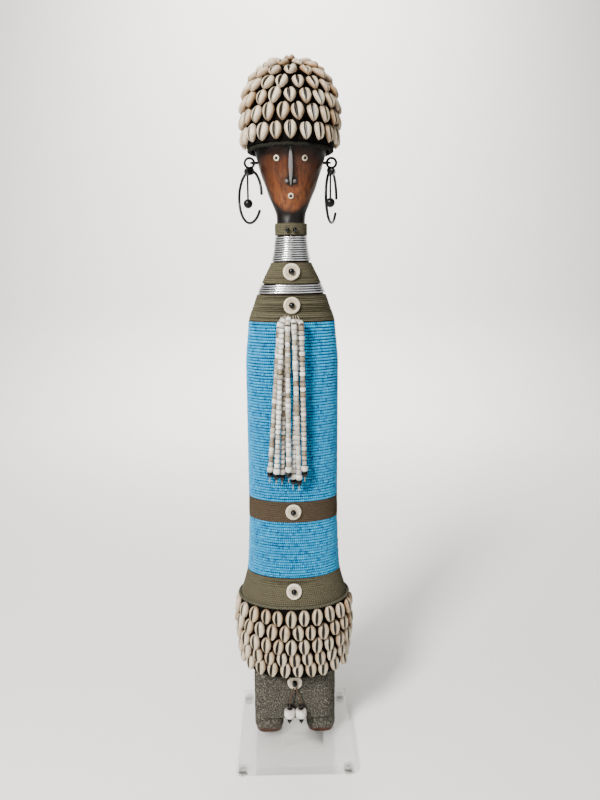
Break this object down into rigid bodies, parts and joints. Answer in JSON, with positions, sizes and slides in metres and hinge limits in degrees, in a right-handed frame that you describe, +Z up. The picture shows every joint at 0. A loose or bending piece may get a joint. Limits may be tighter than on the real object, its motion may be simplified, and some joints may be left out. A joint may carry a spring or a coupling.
{
  "type": "fertility doll",
  "caption": "Standing carved wooden doll wrapped in blue seed beads, twine and wire, with a cowrie cap and skirt, hoop earrings, a bead fringe and a clear stand",
  "frame": {"origin": "on the surface that the stand rests on, under the middle of the doll", "axes": "+Z up, the doll faces -Y, +X to the right of someone facing the doll"},
  "size_m": [0.1318, 0.127, 0.7265],
  "materials": {
    "acrylic": "clear polished cast acrylic",
    "steel": "zinc plated wood screw",
    "paper": "plain blank label",
    "carved_wood": "oiled hardwood, darkened by burning and handling",
    "grey_twine": "waxed dark grey twine",
    "olive_twine": "twisted olive grey twine",
    "brown_twine": "twisted brown twine",
    "blue_beads": "opaque sky blue glass seed beads on thread",
    "black_lining": "black cloth",
    "aluminium_wire": "bright drawn wire",
    "cowrie": "glossy natural cowrie shell",
    "bone": "worn bone disc",
    "black_glass": "glossy black glass",
    "black_wire": "black coated wire and bead",
    "thread": "brown cotton thread",
    "chalk_beads": "chalky white beads, stained brown",
    "thong": "brown leather thong"
  },
  "bodies": {
    "doll": {"base_plate": "acrylic", "base_bumpers": "acrylic", "base_screws": "steel", "base_label": "paper", "carved_core": "carved_wood", "left_leg_twine": "grey_twine", "right_leg_twine": "grey_twine", "leg_block_twine": "grey_twine", "flared_belt": "olive_twine", "belt_rim_cord": "olive_twine", "shoulder_twine": "olive_twine", "chest_twine": "olive_twine", "collar_twine": "olive_twine", "cap_rim_cord": "olive_twine", "waist_band": "brown_twine", "lower_bead_wrap": "blue_beads", "upper_bead_wrap": "blue_beads", "skirt_lining": "black_lining", "cap_lining": "black_lining", "lower_neck_rings": "aluminium_wire", "upper_neck_rings": "aluminium_wire", "skirt_shells_upper": "cowrie", "skirt_shells_middle": "cowrie", "skirt_shells_lower": "cowrie", "cap_shells_lower": "cowrie", "cap_shells_upper": "cowrie", "cap_shells_crown": "cowrie", "upper_chest_disc": "bone", "lower_chest_disc": "bone", "waist_disc": "bone", "belt_disc": "bone", "apron_disc": "bone", "left_eye_ring": "bone", "right_eye_ring": "bone", "mouth_ring": "bone", "disc_beads": "black_glass", "face_pins": "black_glass", "throat_beads": "black_glass", "ear_staples": "black_wire"},
    "left_ear": {"left_ear_ring": "black_wire"},
    "right_ear": {"right_ear_ring": "black_wire"},
    "left_hoop_ring": {"left_hoop": "black_wire"},
    "right_hoop_ring": {"right_hoop": "black_wire"},
    "left_pendant": {"left_pendant_stem": "black_wire", "left_pendant_ball": "black_wire"},
    "right_pendant": {"right_pendant_stem": "black_wire", "right_pendant_ball": "black_wire"},
    "fringe": {"fringe_cord_1": "thread", "fringe_cord_2": "thread", "fringe_cord_3": "thread", "fringe_cord_4": "thread", "fringe_cord_5": "thread", "fringe_cord_6": "thread", "fringe_cord_7": "thread", "fringe_beads": "chalk_beads"},
    "left_tassel": {"left_tassel_cord": "thong", "left_tassel_beads": "chalk_beads"},
    "right_tassel": {"right_tassel_cord": "thong", "right_tassel_beads": "chalk_beads"}
  },
  "joints": [
    {"name": "left_ear_swing", "type": "hinge", "parent": "doll", "child": "left_ear", "pos_m": [-0.03496, 0, 0.632], "axis": [0, 1, 0], "range_deg": [0, 25]},
    {"name": "left_hoop_swing", "type": "hinge", "parent": "left_ear", "child": "left_hoop_ring", "pos_m": [-0.03946, 0, 0.62445], "axis": [-0.5, 0.866, 0], "range_deg": [-10, 30]},
    {"name": "left_pendant_swing", "type": "hinge", "parent": "left_ear", "child": "left_pendant", "pos_m": [-0.03946, 0, 0.62445], "axis": [-0.5, 0.866, 0], "range_deg": [-10, 30]},
    {"name": "right_ear_swing", "type": "hinge", "parent": "doll", "child": "right_ear", "pos_m": [0.03496, 0, 0.632], "axis": [0, -1, 0], "range_deg": [0, 25]},
    {"name": "right_hoop_swing", "type": "hinge", "parent": "right_ear", "child": "right_hoop_ring", "pos_m": [0.03946, 0, 0.62445], "axis": [-0.2756, -0.9613, 0], "range_deg": [-10, 30]},
    {"name": "right_pendant_swing", "type": "hinge", "parent": "right_ear", "child": "right_pendant", "pos_m": [0.03946, 0, 0.62445], "axis": [-0.2756, -0.9613, 0], "range_deg": [-10, 30]},
    {"name": "fringe_lift", "type": "hinge", "parent": "doll", "child": "fringe", "pos_m": [0, -0.0257, 0.488], "axis": [-1, 0, 0], "range_deg": [0, 45]},
    {"name": "left_tassel_lift", "type": "hinge", "parent": "doll", "child": "left_tassel", "pos_m": [-0.0013, -0.0216, 0.0766], "axis": [-1, 0, 0], "range_deg": [0, 50]},
    {"name": "right_tassel_lift", "type": "hinge", "parent": "doll", "child": "right_tassel", "pos_m": [0.0013, -0.0216, 0.0766], "axis": [-1, 0, 0], "range_deg": [0, 50]}
  ]
}
